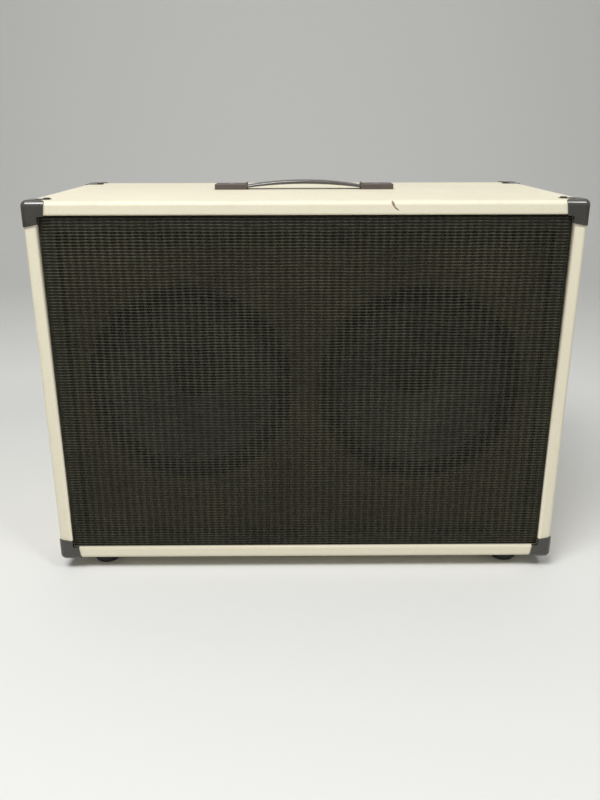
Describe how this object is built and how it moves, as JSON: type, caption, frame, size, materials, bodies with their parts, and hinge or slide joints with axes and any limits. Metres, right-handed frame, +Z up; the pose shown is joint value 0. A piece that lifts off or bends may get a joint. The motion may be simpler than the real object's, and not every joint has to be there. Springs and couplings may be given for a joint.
{
  "type": "guitar speaker cabinet",
  "caption": "Closed-back guitar speaker cabinet: cream vinyl box with a recessed black woven grille over its loudspeakers, moulded corners, strap handle, rubber feet and a rear jack",
  "frame": {"origin": "on the floor under the middle of the cabinet", "axes": "+X to the right seen from the front, +Y towards the rear, +Z up"},
  "size_m": [0.7244, 0.3634, 0.5454],
  "materials": {
    "plywood": "raw plywood",
    "softwood": "raw softwood",
    "cream_vinyl": "fine grained cream vinyl",
    "cream_vinyl_panel": "plywood covered in cream vinyl",
    "stained_wood": "dark stained plywood",
    "black_cloth": "coarse black weave",
    "hook_and_loop": "hook and loop",
    "black_screw": "black oxide",
    "zinc_steel": "zinc plate",
    "black_steel": "satin black paint",
    "black_nylon": "moulded nylon",
    "nickel": "nickel plate",
    "lead_jacket": "soft jacket",
    "strap_rubber": "satin moulded strap",
    "handle_plastic": "satin moulded",
    "corner_plastic": "satin moulded",
    "foot_rubber": "matt rubber",
    "gasket_board": "pressed board",
    "treated_cloth": "doped cloth",
    "cone_paper": "pressed paper",
    "cap_paper": "pressed paper",
    "copper_coil": "enamelled copper",
    "spider_cloth": "resin treated cloth",
    "ferrite": "sintered ferrite",
    "terminal_board": "fibre board"
  },
  "bodies": {
    "cabinet": {"top_board": "plywood", "bottom_board": "plywood", "left_board": "plywood", "right_board": "plywood", "vinyl_covering": "cream_vinyl", "rear_panel": "cream_vinyl_panel", "baffle_battens": "softwood", "rear_battens": "softwood", "centre_brace": "softwood", "baffle_board": "stained_wood", "grille_frame": "stained_wood", "grille_cloth": "black_cloth", "grille_pads": "hook_and_loop", "rear_screws": "black_screw", "corner_screws": "black_screw", "foot_screws": "zinc_steel", "jack_plate": "black_steel", "jack_socket": "black_nylon", "jack_nut": "nickel", "speaker_bolts": "black_screw", "tee_nuts": "black_screw", "speaker_leads": "lead_jacket", "handle_cap_left": "handle_plastic", "handle_cap_right": "handle_plastic", "handle_screws": "nickel", "corner_front_top_left": "corner_plastic", "corner_front_top_right": "corner_plastic", "corner_front_bottom_left": "corner_plastic", "corner_front_bottom_right": "corner_plastic", "corner_rear_top_left": "corner_plastic", "corner_rear_top_right": "corner_plastic", "corner_rear_bottom_left": "corner_plastic", "corner_rear_bottom_right": "corner_plastic", "foot_front_left": "foot_rubber", "foot_front_right": "foot_rubber", "foot_rear_left": "foot_rubber", "foot_rear_right": "foot_rubber", "left_basket": "black_steel", "left_gasket": "gasket_board", "left_surround": "treated_cloth", "left_spider": "spider_cloth", "left_top_plate": "zinc_steel", "left_magnet": "ferrite", "left_back_plate": "zinc_steel", "left_terminals": "terminal_board", "right_basket": "black_steel", "right_gasket": "gasket_board", "right_surround": "treated_cloth", "right_spider": "spider_cloth", "right_top_plate": "zinc_steel", "right_magnet": "ferrite", "right_back_plate": "zinc_steel", "right_terminals": "terminal_board"},
    "left_cone_assembly": {"left_cone": "cone_paper", "left_dust_cap": "cap_paper", "left_voice_coil": "copper_coil"},
    "right_cone_assembly": {"right_cone": "cone_paper", "right_dust_cap": "cap_paper", "right_voice_coil": "copper_coil"},
    "handle_grip": {"handle_strap": "strap_rubber"}
  },
  "joints": [
    {"name": "left_cone_travel", "type": "slide", "parent": "cabinet", "child": "left_cone_assembly", "axis": [0, -1, 0], "range_m": [-0.003, 0.003], "stiffness_N_per_m": 8000, "deforming": ["left_surround", "left_spider"]},
    {"name": "right_cone_travel", "type": "slide", "parent": "cabinet", "child": "right_cone_assembly", "axis": [0, -1, 0], "range_m": [-0.003, 0.003], "stiffness_N_per_m": 8000, "deforming": ["right_surround", "right_spider"]},
    {"name": "handle_lift", "type": "slide", "parent": "cabinet", "child": "handle_grip", "axis": [0, 0, 1], "range_m": [0, 0.018], "deforming": ["handle_strap"]}
  ]
}
